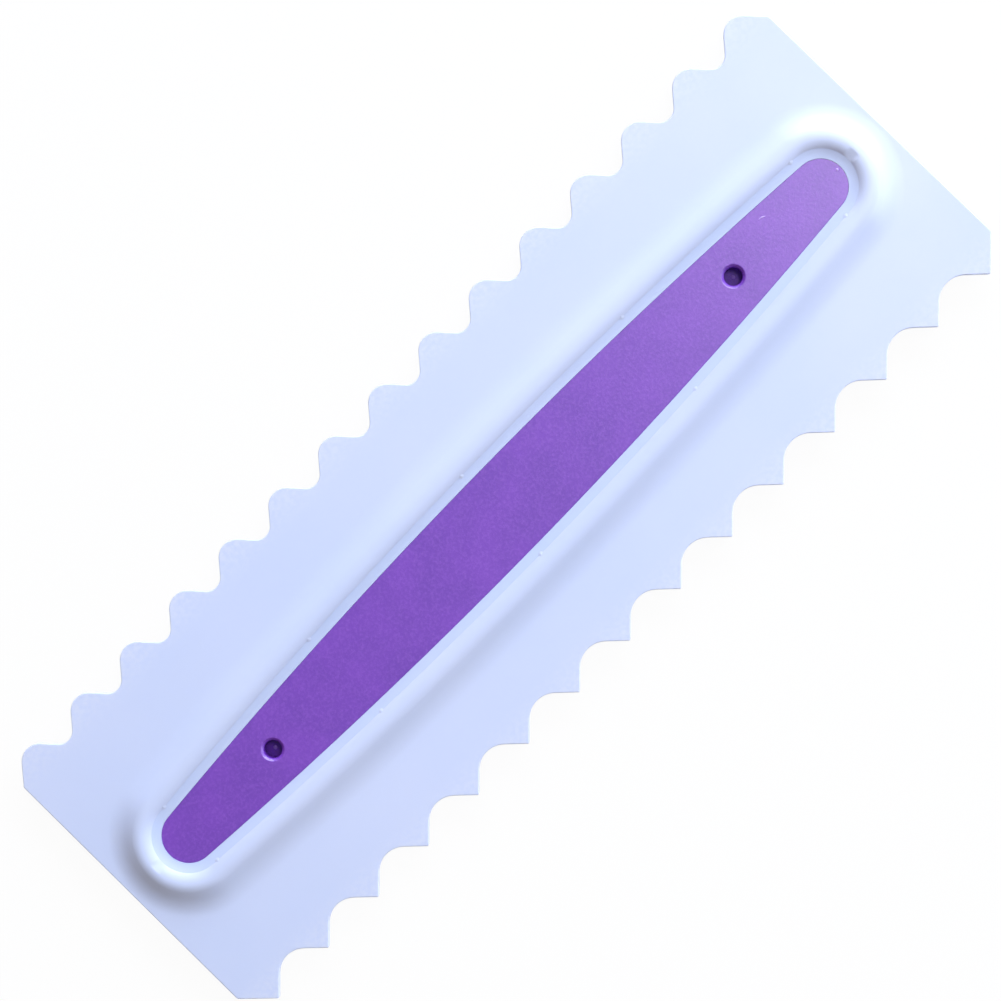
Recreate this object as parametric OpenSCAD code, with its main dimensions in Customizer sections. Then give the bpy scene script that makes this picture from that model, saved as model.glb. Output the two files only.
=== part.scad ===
// Icing smoother: a two-edged comb blade with an inlaid grip.
// X runs along the blade, +Y points to the wave edge, -Y to the scallop edge, +Z out of the front.
// The blade's middle plane is z = 0, and both faces of the tool are alike but for the two holes.

/* [Blade] */
// Length of the blade over its two straight ends
blade_l = 228.6; // [226:0.2:231]
// Width from the wave crests to the scallop tips
blade_w = 76.2; // [74:0.2:80]
// Thickness of the flat blade
blade_t = 2; // [1.6:0.1:2.4]
// Thickness of the web between the front and rear pockets
web_t = 0.7; // [0.6:0.1:0.9]

/* [Edges] */
// Number of teeth on each long edge, always odd
tooth_count = 15; // [15]
// Distance from one tooth to the next
tooth_pitch = 15.4; // [15.2:0.05:15.6]
// Height of the waves from valley to crest
wave_depth = 5.2; // [4.6:0.1:5.6]
// Slope of the straight flank between a crest and a valley
wave_flank = 49; // [47:1:56]
// Share of the wave's roundness that the crest takes, the valley has the rest
wave_crest_share = 0.58; // [0.5:0.01:0.65]
// Depth of the scallops from their tips
scallop_depth = 5.1; // [4.4:0.1:5.2]
// Slope of the straight flank beside a scallop tip
scallop_flank = 44; // [43:1:50]
// Radius of the scallop tips
tip_r = 0.35; // [0.2:0.05:0.5]
// Radius of the blade's four corners
corner_r = 1; // [0.5:0.1:1.5]

/* [Grip] */
// Length of the grip pad over its round ends
pad_l = 204; // [190:0.2:204.4]
// Width of the grip pad at its middle
pad_w = 19.4; // [17:0.2:22]
// Radius of the pad's round ends
pad_end_r = 5.9; // [5:0.1:7]
// Thickness of the pad
pad_t = 0.6; // [0.5:0.05:0.65]
// Gap between the pad and the tray round it
pad_gap = 0.12; // [0.08:0.01:0.25]
// Height by which the pad's face lies under the tray's edge
pad_sink = 0.05; // [0:0.01:0.1]
// Distance between the two holes in the pad
hole_spacing = 140.2; // [110:0.2:150]
// Diameter of each hole
hole_d = 4.1; // [3:0.1:5]
// Width of the bevel at the mouth of each hole
hole_bevel = 0.45; // [0.2:0.05:0.5]

/* [Rim] */
// Distance from the pad's edge to the pocket's wall
ledge_w = 2.1; // [1.9:0.1:2.2]
// Height of the rim's crest above the blade's face
rim_h = 2.5; // [2.4:0.1:2.8]
// Height of the white ledge above the blade's face, where it meets the pad
ledge_h = 1.3; // [1:0.1:1.4]
// Height that the dished ledge gains on its way out to the wall
ledge_rise = 0.4; // [0.2:0.05:0.45]
// Slope of the rounded wall where it leaves the ledge, in degrees
wall_slope = 50; // [46:1:60]
// Slope where the wall runs into the crown, in degrees
crown_inner_slope = 8; // [6:1:10]
// Radius of the crown on both sides of the crest
crown_r = 4.8; // [4.5:0.1:5]
// Width of the flat land along the crest, on which the tool rests
crest_land = 0.4; // [0.3:0.1:0.5]
// Slope of the straight flank outside the crown, in degrees
rim_slope = 32; // [32:1:34]
// Radius of the cove that runs out onto the blade's face
cove_r = 7; // [6:0.5:7]

/* [Snap features] */
// Number of nibs along each side of each pocket, always odd
nib_count = 5; // [3:2:5]
// Distance from one nib to the next
nib_pitch = 47.7; // [40:0.1:48]
// Radius of a nib
nib_r = 0.65; // [0.5:0.05:0.8]
// Height of a nib
nib_h = 0.4; // [0.3:0.05:0.5]
// Height by which a nib stands out of the wall
nib_out = 0.5; // [0.3:0.05:0.6]
// Gap between the tray's edge and the nibs above it
nib_lift = 0.05; // [0.05:0.05:0.2]
// Width of the ramped notch in each end of the rim
notch_w = 2.4; // [1.8:0.1:2.8]
// Length of the notch from the pocket's wall to the crest
notch_l = 2.4; // [1.8:0.1:2.6]

/* [Posts and marks] */
// Radius of the gate mark near one end of each pad
gate_r = 0.3; // [0.2:0.05:0.4]
// Height of the gate mark
gate_h = 0.1; // [0.05:0.05:0.2]
// Outer diameter of the hollow posts under the front pad
post_d = 6.4; // [5.8:0.1:7]
// Outer diameter of the collars on the rear pad
collar_d = 9; // [8:0.1:9.4]
// Gap between a post and its collar
post_gap = 0.05; // [0.03:0.01:0.1]
// Gap round the posts and collars where they pass the blade and the trays
pass_gap = 0.2; // [0.1:0.05:0.3]
// Gap between a tray and the pocket's wall
tray_gap = 0.1; // [0.05:0.01:0.15]

/* [Hidden] */
$fn = 64;

white_plastic = [0.86, 0.90, 0.99];
purple_plastic = [0.52, 0.34, 0.78];

// Heights above the blade's middle plane
face_z = blade_t / 2;
web_z = web_t / 2;
ledge_z = face_z + ledge_h;
wall_z = ledge_z + ledge_rise;
crest_z = face_z + rim_h;
pad_z = ledge_z - pad_sink;
tray_floor_z = pad_z - pad_t;

// The pad's outline is two long arcs and two end arcs that run into each other
half_w = pad_w / 2;
end_x = pad_l / 2 - pad_end_r;
side_r = (end_x * end_x + half_w * half_w - pad_end_r * pad_end_r) / (2 * (half_w - pad_end_r));
side_cy = side_r - half_w;
side_angle = asin(end_x / (side_r - pad_end_r));

// Steps of the arcs, and facets per turn of the long sweeps
side_steps = 20;
end_steps = 24;
tooth_steps = 6;
edge_steps = 3;
crown_steps = 5;
cove_steps = 4;
side_fn = 800;
end_fn = 72;
small_fn = 24;

// Overlaps that make unions and cuts certain
lap = 0.02;
lap_angle = 1;
pocket_lap = 1;

// Points of an arc from angle a0 to angle a1
function arc(cx, cy, r, a0, a1, steps) =
    [for (i = [0:steps]) let (a = a0 + (a1 - a0) * i / steps) [cx + r * cos(a), cy + r * sin(a)]];

function turned(points) = [for (i = [len(points) - 1:-1:0]) points[i]];
function joined(lists) = [for (l = lists) for (p = l) p];

// The pad's outline, grown outwards by d
function boat(d) = joined([
    arc(0, -side_cy, side_r + d, 90 - side_angle, 90 + side_angle, side_steps),
    arc(-end_x, 0, pad_end_r + d, 90 + side_angle, 270 - side_angle, end_steps),
    arc(0, side_cy, side_r + d, 270 - side_angle, 270 + side_angle, side_steps),
    arc(end_x, 0, pad_end_r + d, -90 + side_angle, 90 - side_angle, end_steps)
]);

// Both roundings of a tooth together: half a pitch wide, one depth high, with a straight flank between
tooth_last = (tooth_count - 1) / 2;
half_pitch = tooth_pitch / 2;
function round_sum(depth, flank) =
    (half_pitch * sin(flank) - depth * cos(flank)) / (1 - cos(flank));
wave_crest_r = round_sum(wave_depth, wave_flank) * wave_crest_share;
wave_valley_r = round_sum(wave_depth, wave_flank) - wave_crest_r;
scallop_r = round_sum(scallop_depth, scallop_flank) - tip_r;

// Corner of the blade, where the last tooth's flank runs out into the straight end
function corner(out_r, flank) =
    let (
        x = blade_l / 2 - corner_r,
        reach = (x - tooth_last * tooth_pitch) * sin(flank),
        y = blade_w / 2 - out_r + (out_r - corner_r - reach) / cos(flank)
    )
    arc(x, y, corner_r, 90 - flank, 0, tooth_steps);

// One toothed edge from left to right: crests of radius out_r, valleys of radius in_r
function edge(out_r, in_r, depth, flank) =
    let (
        crest = arc(0, blade_w / 2 - out_r, out_r, 90 + flank, 90 - flank, 2 * tooth_steps),
        valley = arc(half_pitch, blade_w / 2 - depth + in_r, in_r,
            270 - flank, 270 + flank, 2 * tooth_steps),
        end = corner(out_r, flank)
    )
    joined([
        turned([for (p = end) [-p[0], p[1]]]),
        [for (i = [-tooth_last:tooth_last])
            for (p = i < tooth_last ? concat(crest, valley) : crest)
                [p[0] + i * tooth_pitch, p[1]]],
        end
    ]);

wave_edge = edge(wave_crest_r, wave_valley_r, wave_depth, wave_flank);
scallop_edge = [for (p = edge(tip_r, scallop_r, scallop_depth, scallop_flank)) [p[0], -p[1]]];

// Rim section: distance from the pad's edge, height above the middle plane
crown_z = crest_z - crown_r;
wall_fall = crest_z - wall_z - crown_r * (1 - cos(crown_inner_slope));
wall_r = wall_fall / (cos(crown_inner_slope) - cos(wall_slope));
wall_cx = ledge_w + wall_r * sin(wall_slope);
crown_x = wall_cx + (crown_r - wall_r) * sin(crown_inner_slope);
flank_l = (rim_h - (crown_r + cove_r) * (1 - cos(rim_slope))) / sin(rim_slope);
rim_foot_x = crown_x + crest_land + (crown_r + cove_r) * sin(rim_slope) + flank_l * cos(rim_slope);
crown_arc = arc(crown_x + crest_land, crown_z, crown_r, 90, 90 - rim_slope, crown_steps);
cove_arc = arc(rim_foot_x, face_z + cove_r, cove_r, 270 - rim_slope, 270, cove_steps);
rim_front = joined([
    [[ledge_w, face_z]],
    arc(wall_cx, wall_z - wall_r * cos(wall_slope), wall_r,
        90 + wall_slope, 90 + crown_inner_slope, edge_steps),
    [[crown_x, crest_z]],
    crown_arc,
    [for (i = [0:cove_steps - 1]) cove_arc[i]],
    [[rim_foot_x + lap, face_z - lap]]
]);
rim_rear = [for (p = turned(rim_front)) [p[0], -p[1]]];
rim_section = concat(rim_front, rim_rear);

// Section of the dished ledge round a tray
ledge_section = [
    [pad_gap, web_z + lap],
    [ledge_w - tray_gap, web_z + lap],
    [ledge_w - tray_gap, wall_z],
    [pad_gap, ledge_z]
];

module blade_outline() {
    polygon(concat(wave_edge, turned(scallop_edge)));
}

// Section swept along one long side of the grip and round one end. The end is a hair
// fuller and longer than the side, so that it takes in the side's ends.
module swept_half(section) {
    translate([0, -side_cy, 0])
        rotate_extrude(angle = 2 * side_angle, start = 90 - side_angle, $fn = side_fn)
            translate([side_r, 0])
                polygon(section);
    translate([end_x, 0, 0])
        rotate_extrude(angle = 180 - 2 * side_angle + 2 * lap_angle,
                start = side_angle - 90 - lap_angle, $fn = end_fn)
            translate([pad_end_r, 0])
                offset(delta = lap)
                    polygon(section);
}

module swept_round(section) {
    swept_half(section);
    rotate([0, 0, 180])
        swept_half(section);
}

// Height of the pad's half outline at x, grown by d
function boat_y(x, d) = abs(x) < end_x
    ? sqrt(pow(side_r + d, 2) - x * x) - side_cy
    : sqrt(pow(pad_end_r + d, 2) - pow(abs(x) - end_x, 2));

// Pocket sunk in one face of the blade. The rim's own wall then bounds it.
module pocket() {
    translate([0, 0, web_z])
        linear_extrude(blade_t)
            polygon(boat(ledge_w + pocket_lap));
}

// Nibs on both walls of one pocket, just above the tray
module nibs() {
    nib_last = (nib_count - 1) / 2;
    nib_d = ledge_w - nib_out + nib_r;
    for (i = [-nib_last:nib_last])
        for (side = [-1, 1])
            translate([i * nib_pitch, side * boat_y(i * nib_pitch, nib_d), wall_z + nib_lift])
                rotate([0, 0, side * 90])
                    cylinder(r = nib_r, h = nib_h, $fn = small_fn);
}

// Notch in both ends of the rim, with a floor that ramps up from the ledge to the crest
module end_notches() {
    for (side = [0, 180])
        rotate([90, 0, side])
            linear_extrude(notch_w, center = true)
                translate([pad_l / 2 + ledge_w, 0])
                    polygon([[-lap, wall_z], [notch_l, crest_z], [notch_l, 2 * crest_z], [-lap, 2 * crest_z]]);
}

module at_holes() {
    for (side = [-1, 1])
        translate([side * hole_spacing / 2, 0, 0])
            children();
}

module comb_blade() {
    color(white_plastic)
        difference() {
            union() {
                difference() {
                    translate([0, 0, -face_z])
                        linear_extrude(blade_t)
                            blade_outline();
                    pocket();
                    mirror([0, 0, 1])
                        pocket();
                }
                swept_round(rim_section);
                nibs();
                mirror([0, 0, 1])
                    nibs();
            }
            end_notches();
            mirror([0, 0, 1])
                end_notches();
            at_holes()
                cylinder(d = collar_d + 2 * pass_gap, h = blade_t, center = true);
        }
}

// Tray in one pocket, seen from its own face
module carrier(opening_d) {
    swept_round(ledge_section);
    difference() {
        translate([0, 0, web_z])
            linear_extrude(tray_floor_z - web_z)
                polygon(boat(pad_gap + 2 * lap));
        at_holes()
            cylinder(d = opening_d, h = ledge_z);
    }
}

module pad_plate() {
    translate([0, 0, tray_floor_z])
        linear_extrude(pad_t)
            polygon(boat(0));
}

module front_carrier() {
    color(white_plastic)
        carrier(post_d + 2 * pass_gap);
}

module rear_carrier() {
    color(white_plastic)
        mirror([0, 0, 1])
            carrier(collar_d + 2 * pass_gap);
}

// Bore with a bevelled mouth at the pad's face
module hole_cut() {
    cylinder(d = hole_d, h = 4 * crest_z, center = true);
    translate([0, 0, pad_z - hole_bevel])
        cylinder(d1 = hole_d, d2 = hole_d + 4 * hole_bevel, h = 2 * hole_bevel);
}

// Low dome left where the plastic was let into the mould
module gate_mark() {
    translate([pad_l / 2 - gate_r * 3, 0, pad_z])
        scale([1, 1, gate_h / gate_r])
            sphere(gate_r, $fn = small_fn);
}

module front_pad() {
    color(purple_plastic)
        difference() {
            union() {
                pad_plate();
                gate_mark();
                at_holes()
                    cylinder(d = post_d, h = 2 * tray_floor_z, center = true);
            }
            at_holes()
                hole_cut();
        }
}

module rear_pad() {
    color(purple_plastic) {
        mirror([0, 0, 1]) {
            pad_plate();
            gate_mark();
        }
        at_holes()
            translate([0, 0, -tray_floor_z])
                difference() {
                    cylinder(d = collar_d, h = tray_floor_z + web_z - pass_gap / 2);
                    cylinder(d = post_d + 2 * post_gap, h = 2 * crest_z);
                }
    }
}

comb_blade();
front_carrier();
front_pad();
rear_carrier();
rear_pad();
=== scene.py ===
import bpy
import bmesh
from math import asin, pi, radians
from mathutils import Euler, Matrix, Vector


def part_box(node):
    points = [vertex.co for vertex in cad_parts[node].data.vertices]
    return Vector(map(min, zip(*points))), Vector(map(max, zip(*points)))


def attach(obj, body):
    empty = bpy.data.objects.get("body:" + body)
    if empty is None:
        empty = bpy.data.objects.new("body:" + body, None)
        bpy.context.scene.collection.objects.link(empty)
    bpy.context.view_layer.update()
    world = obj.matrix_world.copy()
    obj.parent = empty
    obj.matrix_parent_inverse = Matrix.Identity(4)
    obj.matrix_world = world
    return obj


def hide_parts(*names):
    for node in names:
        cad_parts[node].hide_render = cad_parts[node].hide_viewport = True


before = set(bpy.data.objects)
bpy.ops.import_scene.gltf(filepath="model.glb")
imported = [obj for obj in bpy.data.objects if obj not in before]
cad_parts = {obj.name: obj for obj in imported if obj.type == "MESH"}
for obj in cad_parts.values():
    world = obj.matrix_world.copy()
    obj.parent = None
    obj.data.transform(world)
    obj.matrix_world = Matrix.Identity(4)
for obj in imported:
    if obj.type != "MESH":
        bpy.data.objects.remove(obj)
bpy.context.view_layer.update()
print("icing smoother: frame loaded")

millimetre = 0.001


def boxOf(node):  # a node's lowest and highest corners in millimetres
    low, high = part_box(node)
    return [v / millimetre for v in low], [v / millimetre for v in high]


bladeLow, bladeHigh = boxOf("comb_blade")
trayLow = boxOf("front_carrier")[0]
padHigh = boxOf("front_pad")[1]


def newMaterial(name, look):
    material = bpy.data.materials.new(name)
    material.use_nodes = True
    shader = material.node_tree.nodes["Principled BSDF"]
    shader.inputs["IOR"].default_value = look["ior"]
    return material, material.node_tree, shader


def shade(tree, kind, inputs=None, **settings):  # one shader node
    node = tree.nodes.new(kind)
    for name, value in settings.items():
        setattr(node, name, value)
    for name, value in (inputs or {}).items():
        if isinstance(value, bpy.types.NodeSocket):
            tree.links.new(value, node.inputs[name])
        else:
            node.inputs[name].default_value = value
    return node


def mixColours(tree, factor, first, second):
    mix = tree.nodes.new("ShaderNodeMix")
    mix.data_type = "RGBA"
    for slot, value in ((mix.inputs[0], factor), (mix.inputs[6], first), (mix.inputs[7], second)):
        if isinstance(value, bpy.types.NodeSocket):
            tree.links.new(value, slot)
        else:
            slot.default_value = value
    return mix.outputs[2]


def ranged(tree, factor, low, high, lowAt=0.35, highAt=0.65):  # a noise stretched to low..high
    return shade(tree, "ShaderNodeMapRange", {
        "Value": factor, "From Min": lowAt, "From Max": highAt, "To Min": low, "To Max": high,
    }).outputs["Result"]


def whitePlastic(name, look):
    material, tree, shader = newMaterial(name, look)
    place = shade(tree, "ShaderNodeTexCoord").outputs["Object"]
    cloud = shade(tree, "ShaderNodeTexNoise", {"Vector": place, "Scale": look["cloudScale"], "Detail": 2.0})
    grain = shade(tree, "ShaderNodeTexNoise", {"Vector": place, "Scale": look["grainScale"], "Detail": 3.0})
    cloud, grain = cloud.outputs["Fac"], grain.outputs["Fac"]
    tint = mixColours(tree, ranged(tree, cloud, 0, 1), look["colour"], look["colourShade"])
    # the two toothed edges are scuffed by use: rougher, and a touch paler
    across = shade(tree, "ShaderNodeSeparateXYZ", {"Vector": place}).outputs["Y"]
    away = shade(tree, "ShaderNodeMath", {0: across}, operation="ABSOLUTE").outputs[0]
    scuff = shade(tree, "ShaderNodeMath", {
        0: ranged(tree, away, 0, 1, look["scuffFrom"], look["scuffTo"]), 1: ranged(tree, grain, 0, 1),
    }, operation="MULTIPLY").outputs[0]
    tree.links.new(mixColours(tree, scuff, tint, look["colourScuff"]), shader.inputs["Base Color"])
    rough = shade(tree, "ShaderNodeMath", {
        0: scuff, 1: look["scuffRough"], 2: ranged(tree, cloud, look["roughLow"], look["roughHigh"]),
    }, operation="MULTIPLY_ADD").outputs[0]
    tree.links.new(rough, shader.inputs["Roughness"])
    bump = shade(tree, "ShaderNodeBump", {"Height": grain, "Strength": look["bump"], "Distance": 0.00005})
    tree.links.new(bump.outputs["Normal"], shader.inputs["Normal"])
    shader.inputs["Subsurface Weight"].default_value = look["translucency"]
    shader.inputs["Subsurface Radius"].default_value = (1.0, 1.0, 1.0)
    shader.inputs["Subsurface Scale"].default_value = look["scatter"]
    return material


def purplePlastic(name, look):
    material, tree, shader = newMaterial(name, look)
    place = shade(tree, "ShaderNodeTexCoord").outputs["Object"]
    cloud = shade(tree, "ShaderNodeTexNoise", {"Vector": place, "Scale": look["cloudScale"], "Detail": 3.0})
    spark = shade(tree, "ShaderNodeTexNoise", {
        "Vector": place, "Scale": look["sparkScale"], "Detail": 4.0, "Roughness": 0.65})
    cloud, spark = cloud.outputs["Fac"], spark.outputs["Fac"]
    tint = mixColours(tree, ranged(tree, cloud, 0, 1), look["colour"], look["colourShade"])
    tint = mixColours(tree, ranged(tree, spark, 0, look["fleck"], 0.45, 0.75), tint, look["colourFleck"])
    # painted shade: the bores and the hidden inside are mixed to a darker purple below the face
    height = shade(tree, "ShaderNodeSeparateXYZ", {"Vector": place}).outputs["Z"]
    height = shade(tree, "ShaderNodeMath", {0: height}, operation="ABSOLUTE").outputs[0]
    deep = ranged(tree, height, 1, 0, look["deepTo"], look["faceFrom"])
    tint = mixColours(tree, deep, tint, look["colourPaintedShade"])
    # the gate mark and the nick are stressed plastic, paler than the rest
    pale = shade(tree, "ShaderNodeAttribute", attribute_name="stressed").outputs["Fac"]
    tree.links.new(mixColours(tree, pale, tint, look["colourStressed"]), shader.inputs["Base Color"])
    # the sheen fades in the bores, and where the pad is seen at a low angle
    facing = shade(tree, "ShaderNodeLayerWeight", {"Blend": 0.5}).outputs["Facing"]
    sheen = shade(tree, "ShaderNodeMath", {
        0: ranged(tree, height, 0, 1, look["deepTo"], look["faceFrom"]),
        1: ranged(tree, facing, 1, 0, look["fadeFrom"], look["fadeTo"]),
    }, operation="MULTIPLY").outputs[0]
    specular = ranged(tree, sheen, look["sheenLow"], look["sheen"], 0, 1)
    tree.links.new(specular, shader.inputs["Specular IOR Level"])
    tree.links.new(ranged(tree, sheen, 0, look["coat"], 0, 1), shader.inputs["Coat Weight"])
    rough = shade(tree, "ShaderNodeMath", {
        0: ranged(tree, spark, look["roughLow"], look["roughHigh"]),
        1: ranged(tree, facing, 0, look["fadeRough"], look["fadeFrom"], look["fadeTo"]),
    }, operation="ADD").outputs[0]
    tree.links.new(rough, shader.inputs["Roughness"])
    shader.inputs["Coat Roughness"].default_value = look["coatRough"]
    bump = shade(tree, "ShaderNodeBump", {"Height": spark, "Strength": look["bump"], "Distance": 0.0001})
    tree.links.new(bump.outputs["Normal"], shader.inputs["Normal"])
    return material


bladeLook = {
    "colour": (0.665, 0.738, 0.97, 1),
    "colourShade": (0.635, 0.718, 0.96, 1),
    "colourScuff": (0.72, 0.78, 0.97, 1),
    "ior": 1.49, "cloudScale": 22.0, "grainScale": 900.0, "roughLow": 0.38, "roughHigh": 0.46, "bump": 0.12,
    "scuffFrom": 0.030, "scuffTo": 0.038, "scuffRough": 0.12, "translucency": 0.2, "scatter": 0.0002,
}
# the trays take a darker copy of the blade's white: painted shade on the recessed ledge
trayPaintedShadeLook = dict(bladeLook, colour=(0.60, 0.685, 0.94, 1), colourShade=(0.57, 0.67, 0.93, 1),
                grainScale=1400.0, scatter=0.00015)
padLook = {
    "colour": (0.195, 0.046, 0.52, 1),
    "colourShade": (0.165, 0.040, 0.47, 1),
    "colourFleck": (0.31, 0.095, 0.66, 1),
    "colourStressed": (0.52, 0.34, 0.86, 1),
    # the darker purple below the face is painted shade in the bores
    "colourPaintedShade": (0.14, 0.03, 0.42, 1), "deepTo": 0.00166, "faceFrom": 0.00176,
    "ior": 1.5, "cloudScale": 120.0, "sparkScale": 1500.0, "fleck": 0.5, "bump": 0.35,
    "roughLow": 0.30, "roughHigh": 0.40, "sheen": 1.0, "sheenLow": 0.3, "coat": 1.0, "coatRough": 0.36,
    "fadeFrom": 0.15, "fadeTo": 0.6, "fadeRough": 0.16,
}
bladeWhite = whitePlastic("mouldedWhite", bladeLook)
trayPaintedShadeWhite = whitePlastic("trayPaintedShadeWhite", trayPaintedShadeLook)
padPurple = purplePlastic("sparkTexturedPurple", padLook)
print("icing smoother: materials made")


class Field:  # a socket of a node tree that can be used in sums
    def __init__(self, tree, socket):
        self.tree, self.socket = tree, socket

    def calc(self, operation, *values):
        return calc(self.tree, operation, self, *values)

    def __add__(self, other):
        return self.calc("ADD", other)

    def __sub__(self, other):
        return self.calc("SUBTRACT", other)

    def __rsub__(self, other):
        return calc(self.tree, "SUBTRACT", other, self)

    def __mul__(self, other):
        return self.calc("MULTIPLY", other)

    def __truediv__(self, other):
        return self.calc("DIVIDE", other)

    __radd__, __rmul__ = __add__, __mul__


def plug(tree, slot, value):
    if isinstance(value, Field):
        value = value.socket
    if isinstance(value, bpy.types.NodeSocket):
        tree.links.new(value, slot)
    else:
        slot.default_value = value


def calc(tree, operation, *values):
    node = tree.nodes.new("ShaderNodeMath")
    node.operation = operation
    for slot, value in zip(node.inputs, values):
        plug(tree, slot, value)
    return Field(tree, node.outputs[0])


def step(tree, kind, inputs=None, **settings):  # one node, its first output handed back
    node = tree.nodes.new(kind)
    for name, value in settings.items():
        setattr(node, name, value)
    for name, value in (inputs or {}).items():
        plug(tree, node.inputs[name], value)
    return node.outputs[0]


def vector(tree, x=0.0, y=0.0, z=0.0):
    return step(tree, "ShaderNodeCombineXYZ", {"X": x, "Y": y, "Z": z})


def joined(tree, *parts):
    node = tree.nodes.new("GeometryNodeJoinGeometry")
    for part in parts:
        tree.links.new(part, node.inputs[0])
    return node.outputs[0]


def moved(tree, shape, x=0.0, y=0.0, z=0.0):
    return step(tree, "GeometryNodeTransform", {"Geometry": shape, "Translation": vector(tree, x, y, z)})


def scaled(tree, shape, x=1.0, y=1.0, z=1.0):
    return step(tree, "GeometryNodeTransform", {"Geometry": shape, "Scale": (x, y, z)})


def placeOf(tree):  # x, y and z of where a field is read
    node = tree.nodes.new("ShaderNodeSeparateXYZ")
    tree.links.new(step(tree, "GeometryNodeInputPosition"), node.inputs[0])
    return [Field(tree, out) for out in node.outputs]


def arcPoints(tree, x, y, radius, start, sweep, steps):  # loose points along an arc
    arc = step(tree, "GeometryNodeCurveArc", {
        "Resolution": steps + 1, "Radius": radius, "Start Angle": start, "Sweep Angle": sweep})
    return moved(tree, step(tree, "GeometryNodeCurveToPoints", {"Curve": arc}, mode="EVALUATED"), x, y)


def onePoint(tree, x, y):
    return step(tree, "GeometryNodePoints", {"Count": 1, "Position": vector(tree, x, y)})


def threaded(tree, points, order, closed):  # joins loose points into one line, in the order given
    merged = step(tree, "GeometryNodeMergeByDistance", {"Geometry": points, "Distance": 0.0005})
    line = step(tree, "GeometryNodePointsToCurves", {"Points": merged, "Weight": order})
    line = step(tree, "GeometryNodeSetSplineCyclic", {"Geometry": line, "Cyclic": closed})
    return step(tree, "GeometryNodeSetCurveNormal", {"Curve": line}, mode="Z_UP")


def marked(tree, shape, name, value):
    return step(tree, "GeometryNodeStoreNamedAttribute", {"Geometry": shape, "Name": name, "Value": value})


def section(tree, *parts):  # arcs and points of a profile, threaded in the order they are written
    index = Field(tree, step(tree, "GeometryNodeInputIndex"))
    apart = 1000.0  # more than the points of any one part
    ranked = [marked(tree, part, "rank", index + apart * place) for place, part in enumerate(parts)]
    rank = step(tree, "GeometryNodeInputNamedAttribute", {"Name": "rank"}, data_type="FLOAT")
    return threaded(tree, joined(tree, *ranked), rank, False)


def swept(tree, path, profile):  # profile x runs outward from the path, profile y runs up
    profile = scaled(tree, profile, 1.0, -1.0)
    return step(tree, "GeometryNodeCurveToMesh", {"Curve": path, "Profile Curve": profile})


def repeated(tree, shape, count, pitch):  # copies in a row along X, centred
    start = (count - 1.0) * pitch * -0.5
    row = step(tree, "GeometryNodeMeshLine", {
        "Count": count, "Start Location": vector(tree, start), "Offset": vector(tree, pitch)})
    copies = step(tree, "GeometryNodeInstanceOnPoints", {"Points": row, "Instance": shape})
    return step(tree, "GeometryNodeRealizeInstances", {"Geometry": copies})


def turnedAtHoles(tree, size, profile):  # a profile turned round each hole, its x being the radius
    ringRadius = 1.0
    ring = step(tree, "GeometryNodeCurvePrimitiveCircle", {"Resolution": 72, "Radius": ringRadius})
    ring = step(tree, "GeometryNodeSetCurveNormal", {"Curve": ring}, mode="Z_UP")
    turned = swept(tree, ring, moved(tree, profile, -ringRadius))
    return repeated(tree, turned, size["Holes"], size["Hole spacing"])


def filled(tree, shape, height):  # flat face between the open edges that lie at a height
    near = 0.12
    faces = step(tree, "GeometryNodeInputMeshEdgeNeighbors")
    away = calc(tree, "ABSOLUTE", placeOf(tree)[2] - height)
    chosen = calc(tree, "LESS_THAN", faces, 1.5) * away.calc("LESS_THAN", near)
    loops = step(tree, "GeometryNodeMeshToCurve", {"Mesh": shape, "Selection": chosen})
    return moved(tree, step(tree, "GeometryNodeFillCurve", {"Curve": loops}, mode="TRIANGLES"), z=height)


def treeWith(name, sizes):  # a new tree with one named input for each size
    tree = bpy.data.node_groups.new(name, "GeometryNodeTree")
    tree.is_modifier = True
    tree.interface.new_socket("Geometry", in_out="OUTPUT", socket_type="NodeSocketGeometry")
    ids = {}
    for label, value in sizes.items():
        kind = "NodeSocketInt" if isinstance(value, int) else "NodeSocketFloat"
        ids[label] = tree.interface.new_socket(label, in_out="INPUT", socket_type=kind).identifier
    entry = tree.nodes.new("NodeGroupInput")
    return tree, {label: Field(tree, entry.outputs[label]) for label in sizes}, ids


def pieceFrom(name, tree, shape, ids, sizes, material, flip=1.0):  # runs the tree, keeps a plain mesh
    shape = step(tree, "GeometryNodeMergeByDistance", {"Geometry": shape, "Distance": 0.001})
    shape = scaled(tree, shape, millimetre, millimetre, millimetre * flip)
    shape = step(tree, "GeometryNodeRealizeInstances", {"Geometry": shape})
    shape = step(tree, "GeometryNodeSetMaterial", {"Geometry": shape, "Material": material})
    tree.links.new(shape, tree.nodes.new("NodeGroupOutput").inputs[0])
    seed = bpy.data.objects.new(name + "Seed", bpy.data.meshes.new(name + "Seed"))
    bpy.context.collection.objects.link(seed)
    modifier = seed.modifiers.new(name, "NODES")
    modifier.node_group = tree
    for label, value in sizes.items():
        modifier[ids[label]] = value
    mesh = bpy.data.meshes.new_from_object(seed.evaluated_get(bpy.context.evaluated_depsgraph_get()))
    mesh.name = name
    seed.modifiers.remove(modifier)
    bpy.data.objects.remove(seed)
    return finishedPiece(name, mesh)


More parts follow.
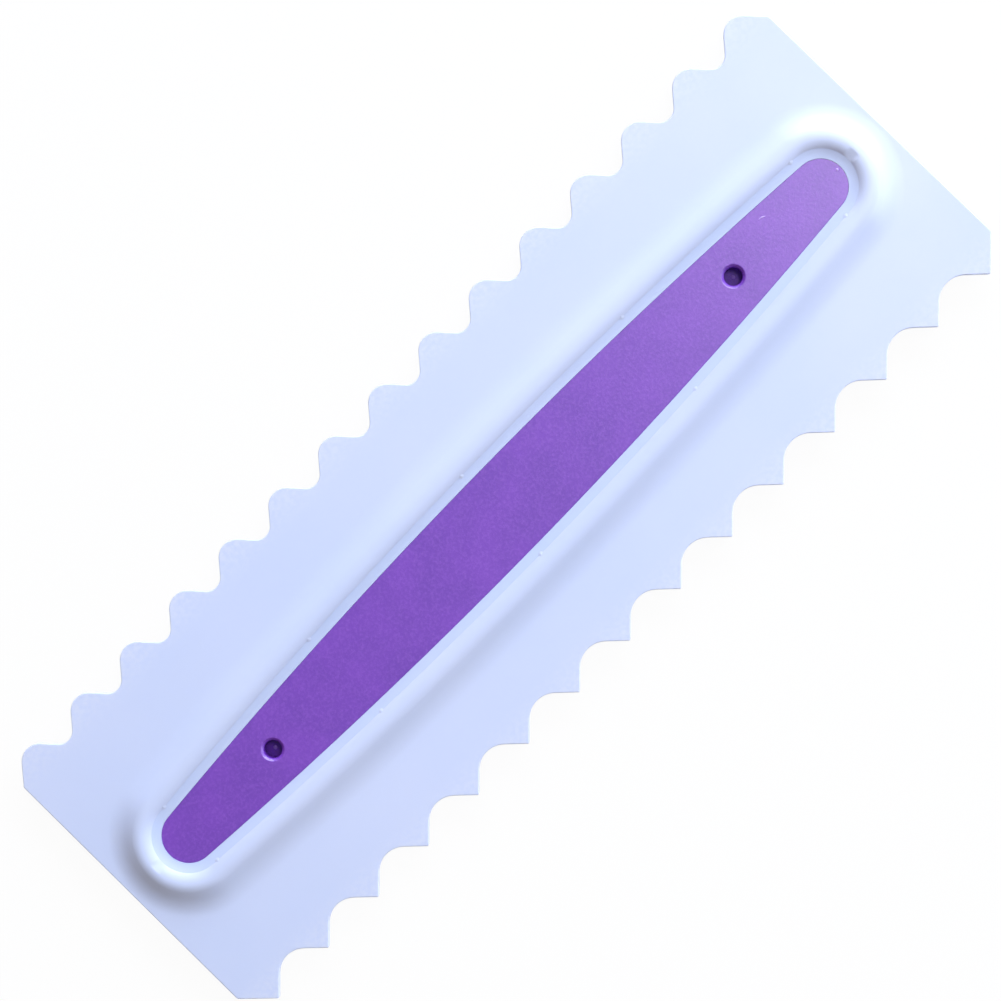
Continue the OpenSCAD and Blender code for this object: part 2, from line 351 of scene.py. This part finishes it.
def finishedPiece(name, mesh):  # faces outward, smooth, with only true corners sharp
    cornerAngle = radians(38)
    work = bmesh.new()
    work.from_mesh(mesh)
    bmesh.ops.remove_doubles(work, verts=work.verts, dist=1e-7)
    bmesh.ops.dissolve_degenerate(work, edges=work.edges, dist=1e-8)
    bmesh.ops.recalc_face_normals(work, faces=work.faces)
    openEdges = sum(1 for edge in work.edges if len(edge.link_faces) != 2)
    work.to_mesh(mesh)
    work.free()
    mesh.polygons.foreach_set("use_smooth", [True] * len(mesh.polygons))
    mesh.set_sharp_from_angle(angle=cornerAngle)
    piece = bpy.data.objects.new(name, mesh)
    bpy.context.collection.objects.link(piece)
    print("icing smoother:", name, len(mesh.polygons), "faces,", openEdges, "open edges")
    return piece


# the grip's path, shared by the rim, the trays and the pads
grip = {
    "Pad end radius": 5.9,
    "Pocket wall": 2.1,
    "Holes": 2,
    "Hole spacing": 140.2,
}
# each side is one arc that runs into the round ends with no corner
halfWidth, endRadius = padHigh[1], grip["Pad end radius"]
endX = padHigh[0] - endRadius
sideRadius = (endX ** 2 + halfWidth ** 2 - endRadius ** 2) / (2 * (halfWidth - endRadius))
sideAngle = asin(endX / (sideRadius - endRadius))
grip.update({"Pad end X": endX, "Side radius": sideRadius, "Side angle": sideAngle})


def boatPath(tree, size, sideSteps, endSteps, tipSteps):  # the pad's outline, counter-clockwise
    angle, tip = size["Side angle"], 0.22  # the arc at the very tip has its own steps, for the notch
    x, r = size["Pad end X"], size["Pad end radius"]
    centre = (size["Side radius"] - r) * angle.calc("COSINE")
    quarter = pi / 2 - angle - tip
    half = joined(
        tree,
        arcPoints(tree, 0.0, centre * -1.0, size["Side radius"], pi / 2 - angle, angle * 2.0, sideSteps),
        arcPoints(tree, x, 0.0, r, tip, quarter, endSteps),
        arcPoints(tree, x, 0.0, r, -tip, quarter * -1.0, endSteps),
        arcPoints(tree, x, 0.0, r, -tip, 2 * tip, tipSteps))
    loop = joined(tree, half, scaled(tree, half, -1.0, -1.0))
    px, py = placeOf(tree)[:2]
    return threaded(tree, loop, calc(tree, "ARCTAN2", py, px), True)


# the white blade: toothed edges, raised rim, snap nibs and end notches
blade = dict(grip)
blade.update({
    "Length": bladeHigh[0] - bladeLow[0],
    "Width": bladeHigh[1] - bladeLow[1],
    "Half thickness": 1.0,
    "Edge rounding": 0.2,
    "Teeth": 15,
    "Tooth pitch": 15.4,
    "Wave depth": 5.2,
    "Wave flank": radians(49),
    "Wave crest share": 0.58,
    "Scallop depth": 5.1,
    "Scallop flank": radians(44),
    "Scallop tip radius": 0.35,
    "Corner radius": 1.0,
    "Pocket floor": trayLow[2],
    "Rim height": 2.5,
    "Wall top": 2.72,
    "Wall slope": radians(38),
    "Inner slope": radians(8),
    "Outer slope": radians(32),
    "Crown radius": 4.8,
    "Outer crown radius": 3.6,
    "Crest end": 4.527,
    "Cove radius": 8.2,
    "Rim foot": 11.91,
    "Notch half width": 1.4,
    "Notch length": 2.2,
    "Notch strength": 0.85,
    "Nibs a side": 5,
    "Nib pitch": 47.7,
    "Nib radius": 0.65,
    "Nib proud": 0.5,
    "Nib bottom": 2.76,
    "Nib top": 2.91,
    "Nib tilt": 0.3,
    "Web hole radius": 4.7,
})


def roundSum(pitch, depth, flank):  # both roundings of a tooth together
    return (pitch * 0.5 * flank.calc("SINE") - depth * flank.calc("COSINE")) / (1.0 - flank.calc("COSINE"))


def toothedEdge(tree, size, outRadius, inRadius, depth, flank):  # loose points of one long edge, teeth up
    top = size["Width"] * 0.5
    crest = arcPoints(tree, 0.0, top - outRadius, outRadius, pi / 2 - flank, flank * 2.0, 14)
    valley = arcPoints(tree, 0.0, top - depth + inRadius, inRadius, pi * 1.5 - flank, flank * 2.0, 14)
    crests = repeated(tree, crest, size["Teeth"], size["Tooth pitch"])
    valleys = repeated(tree, valley, size["Teeth"] - 1.0, size["Tooth pitch"])
    corner = size["Corner radius"]
    x = size["Length"] * 0.5 - corner
    reach = (x - (size["Teeth"] - 1.0) * size["Tooth pitch"] * 0.5) * flank.calc("SINE")
    y = top - outRadius + (outRadius - corner - reach) / flank.calc("COSINE")
    rightCorner = arcPoints(tree, x, y, corner, 0.0, pi / 2 - flank, 8)
    return joined(tree, crests, valleys, rightCorner, scaled(tree, rightCorner, -1.0))


def bladeOutline(tree, size):
    waves = roundSum(size["Tooth pitch"], size["Wave depth"], size["Wave flank"])
    crest = waves * size["Wave crest share"]
    waveEdge = toothedEdge(tree, size, crest, waves - crest, size["Wave depth"], size["Wave flank"])
    tip = size["Scallop tip radius"]
    hollow = roundSum(size["Tooth pitch"], size["Scallop depth"], size["Scallop flank"]) - tip
    scallopEdge = toothedEdge(tree, size, tip, hollow, size["Scallop depth"], size["Scallop flank"])
    # the upper edge from right to left, then the lower edge from left to right
    x, y = placeOf(tree)[:2]
    upper = y.calc("GREATER_THAN", 0.0)
    order = (x + size["Length"] * 2.0) * (1.0 - upper) - x * upper
    return threaded(tree, joined(tree, waveEdge, scaled(tree, scallopEdge, 1.0, -1.0)), order, True)


def bladeSide(tree, size):  # the blade's thin side, rounded over and lapping a little on to both faces
    r, h = size["Edge rounding"], size["Half thickness"]
    profile = section(
        tree,
        onePoint(tree, r * -1.5, h * -1.0),
        arcPoints(tree, r * -1.0, r - h, r, -pi / 2, pi / 2, 4),
        arcPoints(tree, r * -1.0, h - r, r, 0.0, pi / 2, 4),
        onePoint(tree, r * -1.5, h))
    return swept(tree, bladeOutline(tree, size), profile)


def mixed(first, second, share):
    return (second - first) * share + first


def notched(tree, size, strip, foot, crest):  # a soft ramp from ledge to crest in each end of the rim
    x, y, z = placeOf(tree)
    beyond = x.calc("ABSOLUTE") - size["Pad end X"]
    radius = calc(tree, "MAXIMUM", calc(tree, "SQRT", beyond * beyond + y * y), 0.001)
    wallRadius = size["Pad end radius"] + size["Pocket wall"]
    across = y * wallRadius / radius
    left = calc(tree, "MAXIMUM", 1.0 - (across / size["Notch half width"]).calc("POWER", 2.0), 0.0)
    share = left * left * (3.0 - left * 2.0) * size["Notch strength"]
    along = (radius - wallRadius) / size["Notch length"]
    ramp = foot + (crest - foot) * along
    straight = calc(tree, "MAXIMUM", 1.0 - along * along, 0.0) * share
    place = vector(tree, x, mixed(y, across, straight), mixed(z, calc(tree, "MINIMUM", z, ramp), share))
    inside = share.calc("GREATER_THAN", 0.0) * beyond.calc("GREATER_THAN", 0.0)
    return step(tree, "GeometryNodeSetPosition", {"Geometry": strip, "Selection": inside, "Position": place})


def rim(tree, size):  # the rim's section swept round the grip
    face, floor, wall = size["Half thickness"], size["Pocket floor"], size["Pocket wall"]
    crest = face + size["Rim height"]
    crown, cove, foot = size["Crown radius"], size["Cove radius"], size["Wall top"]
    steep, inner, outer = size["Wall slope"], size["Inner slope"], size["Outer slope"]
    rise = crest - foot - crown * (1.0 - inner.calc("COSINE"))
    edge = rise / (inner.calc("COSINE") - steep.calc("COSINE"))
    edgeX = wall + edge * steep.calc("SINE")
    innerX = edgeX + (crown - edge) * inner.calc("SINE")
    outerX, outerCrown, footX = size["Crest end"], size["Outer crown radius"], size["Rim foot"]
    # up the wall, over its rounded edge and the flat crown, down the outer slope and out in a cove
    profile = section(
        tree,
        onePoint(tree, wall, floor),
        arcPoints(tree, edgeX, foot - edge * steep.calc("COSINE"), edge, steep + pi / 2, inner - steep, 12),
        arcPoints(tree, innerX, crest - crown, crown, inner + pi / 2, inner * -1.0, 5),
        arcPoints(tree, outerX, crest - outerCrown, outerCrown, pi / 2, outer * -1.0, 16),
        arcPoints(tree, footX, face + cove, cove, pi * 1.5 - outer, outer, 16))
    strip = swept(tree, boatPath(tree, size, sideSteps=110, endSteps=60, tipSteps=56), profile)
    return notched(tree, size, strip, foot, crest)


def nibs(tree, size):  # low cones on both walls of the pocket, rising towards the wall
    line = step(tree, "GeometryNodeCurvePrimitiveLine", {
        "Start": vector(tree, 0.0, 0.0, size["Nib bottom"]), "End": vector(tree, 0.0, 0.0, size["Nib top"])})
    line = step(tree, "GeometryNodeResampleCurve", {"Curve": line, "Count": 24})
    taper = 1.03 - Field(tree, step(tree, "GeometryNodeSplineParameter"))  # almost a point at the top
    ring = step(tree, "GeometryNodeCurvePrimitiveCircle", {"Resolution": 28, "Radius": size["Nib radius"]})
    nib = step(tree, "GeometryNodeCurveToMesh", {
        "Curve": line, "Profile Curve": ring, "Fill Caps": True, "Scale": taper})
    x, y = placeOf(tree)[:2]
    lean = vector(tree, z=y * size["Nib tilt"])
    nib = step(tree, "GeometryNodeSetPosition", {"Geometry": nib, "Offset": lean})
    row = step(tree, "GeometryNodeMeshLine", {
        "Count": size["Nibs a side"], "Offset": vector(tree, size["Nib pitch"]),
        "Start Location": vector(tree, (size["Nibs a side"] - 1.0) * size["Nib pitch"] * -0.5)})
    radius = size["Side radius"] + size["Pocket wall"] + size["Nib radius"] - size["Nib proud"]
    centre = (size["Side radius"] - size["Pad end radius"]) * size["Side angle"].calc("COSINE")
    sideY = calc(tree, "SQRT", radius * radius - x * x) - centre
    row = step(tree, "GeometryNodeSetPosition", {"Geometry": row, "Position": vector(tree, x, sideY)})
    copies = step(tree, "GeometryNodeInstanceOnPoints", {"Points": row, "Instance": nib})
    copies = step(tree, "GeometryNodeRealizeInstances", {"Geometry": copies})
    return joined(tree, copies, scaled(tree, copies, 1.0, -1.0))


def makeBlade():
    tree, size, ids = treeWith("combBladeTree", blade)
    face, floor, hole = size["Half thickness"], size["Pocket floor"], size["Web hole radius"]
    side, upperRim = bladeSide(tree, size), rim(tree, size)
    bore = section(tree, onePoint(tree, hole, floor * -1.0), onePoint(tree, hole, floor))
    holes = turnedAtHoles(tree, size, bore)
    oneFace = joined(
        tree, upperRim, nibs(tree, size),
        filled(tree, joined(tree, side, upperRim), face),
        filled(tree, joined(tree, upperRim, holes), floor))
    whole = joined(tree, side, holes, oneFace, scaled(tree, oneFace, 1.0, 1.0, -1.0))
    return pieceFrom("combBlade", tree, whole, ids, blade, bladeWhite)


combBlade = makeBlade()
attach(combBlade, "root")
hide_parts("comb_blade")
print("icing smoother: blade made")


# the white trays: a dished ledge round each pad, in a darker white that paints the ledge's shade
tray = dict(grip)
tray.update({
    "Tray bottom": trayLow[2],
    "Tray floor": 1.65,
    "Ledge": 2.24,
    "Ledge dish": 8.7,
    "Ledge slope": radians(6),
    "Pad gap": 0.03,
    "Opening radius": 3.4,
})
rearTray = dict(tray)
rearTray["Opening radius"] = blade["Web hole radius"]


def makeTray(name, sizes, flip):
    tree, size, ids = treeWith(name + "Tree", sizes)
    bottom, floor, dish = size["Tray bottom"], size["Tray floor"], size["Ledge dish"]
    inner, low = size["Pad gap"], size["Ledge slope"]
    high = (low.calc("SINE") + (size["Pocket wall"] - inner) / dish).calc("ARCSINE")
    profile = section(
        tree,
        onePoint(tree, size["Pocket wall"], bottom),
        arcPoints(tree, inner - dish * low.calc("SINE"), size["Ledge"] + dish * low.calc("COSINE"), dish,
                  high - pi / 2, low - high, 10),
        onePoint(tree, inner, floor))
    ledge = swept(tree, boatPath(tree, size, sideSteps=110, endSteps=30, tipSteps=16), profile)
    hole = size["Opening radius"]
    bore = section(tree, onePoint(tree, hole, bottom), onePoint(tree, hole, floor))
    shell = joined(tree, ledge, turnedAtHoles(tree, size, bore))
    whole = joined(tree, shell, filled(tree, shell, floor), filled(tree, shell, bottom))
    return pieceFrom(name, tree, whole, ids, sizes, trayPaintedShadeWhite, flip)


for name, node, sizes, flip in (("frontCarrier", "front_carrier", tray, 1.0),
                                ("rearCarrier", "rear_carrier", rearTray, -1.0)):
    carrier = makeTray(name, sizes, flip)
    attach(carrier, "root")
    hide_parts(node)
print("icing smoother: trays made")


# the purple pads: the front one with two bores on posts, the rear one with collars behind it
pad = dict(grip)
pad.update({
    "Back": 1.65,
    "Face": 2.17,
    "Edge rounding": 0.05,
    "Bore radius": 1.97,
    "Mouth bevel": 0.58,
    "Mouth rounding": 0.4,
    "Post radius": 3.2,
    "Post end": -1.65,
    "Collar radius": 4.5,
    "Collar bore radius": 3.25,
    "Collar end": -0.25,
    "Nub radius": 0.5,
    "Gate X": 101.1,
    "Gate radius": 0.3,
    "Nick X": 84.8,
    "Nick Y": 1.9,
    "Nick turn": 0.89,
    "Nick sweep": 0.7,
    "Nick radius": 2.6,
    "Nick width": 0.16,
})


def padEdge(tree, size):
    r, face = size["Edge rounding"], size["Face"]
    profile = section(
        tree,
        onePoint(tree, 0.0, size["Back"]),
        arcPoints(tree, r * -1.0, face - r, r, 0.0, pi / 2, 5),
        onePoint(tree, r * -3.0, face))
    return swept(tree, boatPath(tree, size, sideSteps=90, endSteps=30, tipSteps=12), profile)


def padBody(tree, size, shell):  # the shell closed by its face and back
    closed = joined(tree, shell, filled(tree, shell, size["Face"]), filled(tree, shell, size["Back"]))
    return marked(tree, closed, "stressed", 0.0)


def flatDome(tree, radius):
    flatness = 0.35
    ball = step(tree, "GeometryNodeMeshUVSphere", {"Segments": 24, "Rings": 12, "Radius": radius})
    return scaled(tree, ball, 1.0, 1.0, flatness)


def gateMark(tree, size):
    return moved(tree, flatDome(tree, size["Gate radius"]), size["Gate X"], z=size["Face"])


def nick(tree, size):  # a short low curved burr
    flatness = 0.4
    line = step(tree, "GeometryNodeCurveArc", {
        "Resolution": 25, "Radius": size["Nick radius"], "Start Angle": size["Nick turn"],
        "Sweep Angle": size["Nick sweep"]})
    factor = Field(tree, step(tree, "GeometryNodeSplineParameter"))
    taper = (factor * pi).calc("SINE") + 0.02  # almost a point at both ends
    ring = step(tree, "GeometryNodeCurvePrimitiveCircle", {"Resolution": 12, "Radius": size["Nick width"]})
    burr = step(tree, "GeometryNodeCurveToMesh", {
        "Curve": line, "Profile Curve": ring, "Fill Caps": True, "Scale": taper})
    return moved(tree, scaled(tree, burr, 1.0, 1.0, flatness), size["Nick X"] - size["Nick radius"],
                 size["Nick Y"], size["Face"])


def makeFrontPad():
    tree, size, ids = treeWith("frontPadTree", pad)
    face, back, bore, bevel, r = (
        size["Face"], size["Back"], size["Bore radius"], size["Mouth bevel"], size["Mouth rounding"])
    # from the face a rounded lip and a bevel lead into the bore, then down and back up outside the post
    holes = turnedAtHoles(tree, size, section(
        tree,
        onePoint(tree, bore + bevel * 1.4, face),
        arcPoints(tree, bore + bevel + r * 0.3, face - r, r, pi / 2, pi / 4, 4),
        onePoint(tree, bore, face - bevel),
        onePoint(tree, bore, size["Post end"]),
        onePoint(tree, size["Post radius"], size["Post end"]),
        onePoint(tree, size["Post radius"], back)))
    shell = joined(tree, padEdge(tree, size), holes)
    marks = joined(tree, gateMark(tree, size), nick(tree, size))
    whole = joined(tree, padBody(tree, size, shell), marked(tree, marks, "stressed", 1.0))
    return pieceFrom("frontPad", tree, whole, ids, pad, padPurple)


def makeRearPad():  # worked face up and mirrored at the end
    tree, size, ids = treeWith("rearPadTree", pad)
    back, end = size["Back"], size["Collar end"]
    collars = turnedAtHoles(tree, size, section(
        tree,
        onePoint(tree, size["Collar radius"], back),
        onePoint(tree, size["Collar radius"], end),
        onePoint(tree, size["Collar bore radius"], end),
        onePoint(tree, size["Collar bore radius"], back)))
    nub = moved(tree, flatDome(tree, size["Nub radius"]), z=back)
    nubs = repeated(tree, nub, size["Holes"], size["Hole spacing"])
    shell = joined(tree, padEdge(tree, size), collars)
    whole = joined(
        tree, padBody(tree, size, shell),
        marked(tree, nubs, "stressed", 0.3), marked(tree, gateMark(tree, size), "stressed", 1.0))
    return pieceFrom("rearPad", tree, whole, ids, pad, padPurple, flip=-1.0)


for piece, node in ((makeFrontPad(), "front_pad"), (makeRearPad(), "rear_pad")):
    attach(piece, "root")
    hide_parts(node)
print("icing smoother: pads made")


# the floor, the light and the camera
floorLook = {
    "halfSize": 3.0, "height": -0.0046,
    "matte": (0.9, 0.9, 0.9, 1), "glow": (1, 1, 1, 1), "glowShare": 0.95,
}


def makeFloor():  # white to the camera and in reflections, matte to the light, so it keeps the shadow
    work = bmesh.new()
    bmesh.ops.create_grid(work, x_segments=1, y_segments=1, size=floorLook["halfSize"])
    mesh = bpy.data.meshes.new("studioFloor")
    work.to_mesh(mesh)
    work.free()
    floor = bpy.data.objects.new("studioFloor", mesh)
    bpy.context.collection.objects.link(floor)
    floor.location.z = floorLook["height"]
    material = bpy.data.materials.new("paleFloor")
    material.use_nodes = True
    tree = material.node_tree
    tree.nodes.clear()
    path = shade(tree, "ShaderNodeLightPath").outputs
    seen = shade(tree, "ShaderNodeMath", {0: path["Is Camera Ray"], 1: path["Is Glossy Ray"]},
                 operation="ADD", use_clamp=True).outputs[0]
    seen = shade(tree, "ShaderNodeMath", {0: seen, 1: path["Is Transmission Ray"]},
                 operation="ADD", use_clamp=True).outputs[0]
    share = shade(tree, "ShaderNodeMath", {0: seen, 1: floorLook["glowShare"]},
                  operation="MULTIPLY").outputs[0]
    matte = shade(tree, "ShaderNodeBsdfDiffuse", {"Color": floorLook["matte"]}).outputs[0]
    glow = shade(tree, "ShaderNodeEmission", {"Color": floorLook["glow"], "Strength": 1.0}).outputs[0]
    mix = shade(tree, "ShaderNodeMixShader", {"Fac": share})
    tree.links.new(matte, mix.inputs[1])
    tree.links.new(glow, mix.inputs[2])
    tree.links.new(mix.outputs[0], shade(tree, "ShaderNodeOutputMaterial").inputs["Surface"])
    mesh.materials.append(material)
    return floor


makeFloor()


def addLight(name, azimuth, elevation, distance, high, wide, power, colour):  # angles in degrees, from +X
    light = bpy.data.lights.new(name, "AREA")
    light.shape, light.size, light.size_y, light.energy, light.color = "RECTANGLE", high, wide, power, colour
    lamp = bpy.data.objects.new(name, light)
    bpy.context.collection.objects.link(lamp)
    turn = Matrix.Rotation(radians(azimuth), 4, "Z") @ Matrix.Rotation(radians(90 - elevation), 4, "Y")
    lamp.matrix_world = turn @ Matrix.Translation((0, 0, distance))


skyLook = {
    "warm": (0.38, 0.27, 0.16, 1), "cool": (0.76, 0.78, 0.86, 1), "warmTo": -0.4, "coolFrom": 0.7,
    "strength": 0.52, "azimuth": 2.0,
}


def makeSky():  # a bright cool side and a dim warm one
    world = bpy.data.worlds.new("studio")
    world.use_nodes = True
    tree = world.node_tree
    facing = Matrix.Rotation(radians(skyLook["azimuth"]), 3, "Z") @ Vector((0.94, 0, 0.34))  # 20 degrees up
    share = shade(tree, "ShaderNodeVectorMath", {
        0: shade(tree, "ShaderNodeTexCoord").outputs["Generated"], 1: facing}, operation="DOT_PRODUCT")
    share = ranged(tree, share.outputs["Value"], 0, 1, skyLook["warmTo"], skyLook["coolFrom"])
    sky = mixColours(tree, share, skyLook["warm"], skyLook["cool"])
    tree.links.new(sky, tree.nodes["Background"].inputs["Color"])
    tree.nodes["Background"].inputs["Strength"].default_value = skyLook["strength"]
    bpy.context.scene.world = world


makeSky()
addLight("keyLight", azimuth=27, elevation=27, distance=1.4, high=0.8, wide=1.8, power=31.6,
         colour=(0.785, 0.86, 1.0))
addLight("topLight", azimuth=4, elevation=68, distance=1.2, high=0.25, wide=0.25, power=2.9,
         colour=(1.0, 0.95, 0.96))
addLight("fillLight", azimuth=-52, elevation=18, distance=1.4, high=1.0, wide=1.0, power=7.0,
         colour=(0.80, 0.90, 1.0))

cameraView = {
    "lens": 89.91, "sensor": 36.0,
    "place": (0.03469, -0.01374, 0.53048), "turn": (-1.324, 3.700, -45.771),  # metres and degrees
}
camera = bpy.data.objects.new("photoCamera", bpy.data.cameras.new("photoCamera"))
bpy.context.collection.objects.link(camera)
turn = Euler([radians(angle) for angle in cameraView["turn"]]).to_matrix()
camera.matrix_world = Matrix.Translation(cameraView["place"]) @ turn.to_4x4()
camera.data.lens, camera.data.sensor_width = cameraView["lens"], cameraView["sensor"]
camera.data.clip_start, camera.data.clip_end = 0.01, 20.0
bpy.context.scene.camera = camera
bpy.context.scene.view_settings.view_transform = "Standard"
print("icing smoother: floor, light and camera placed")
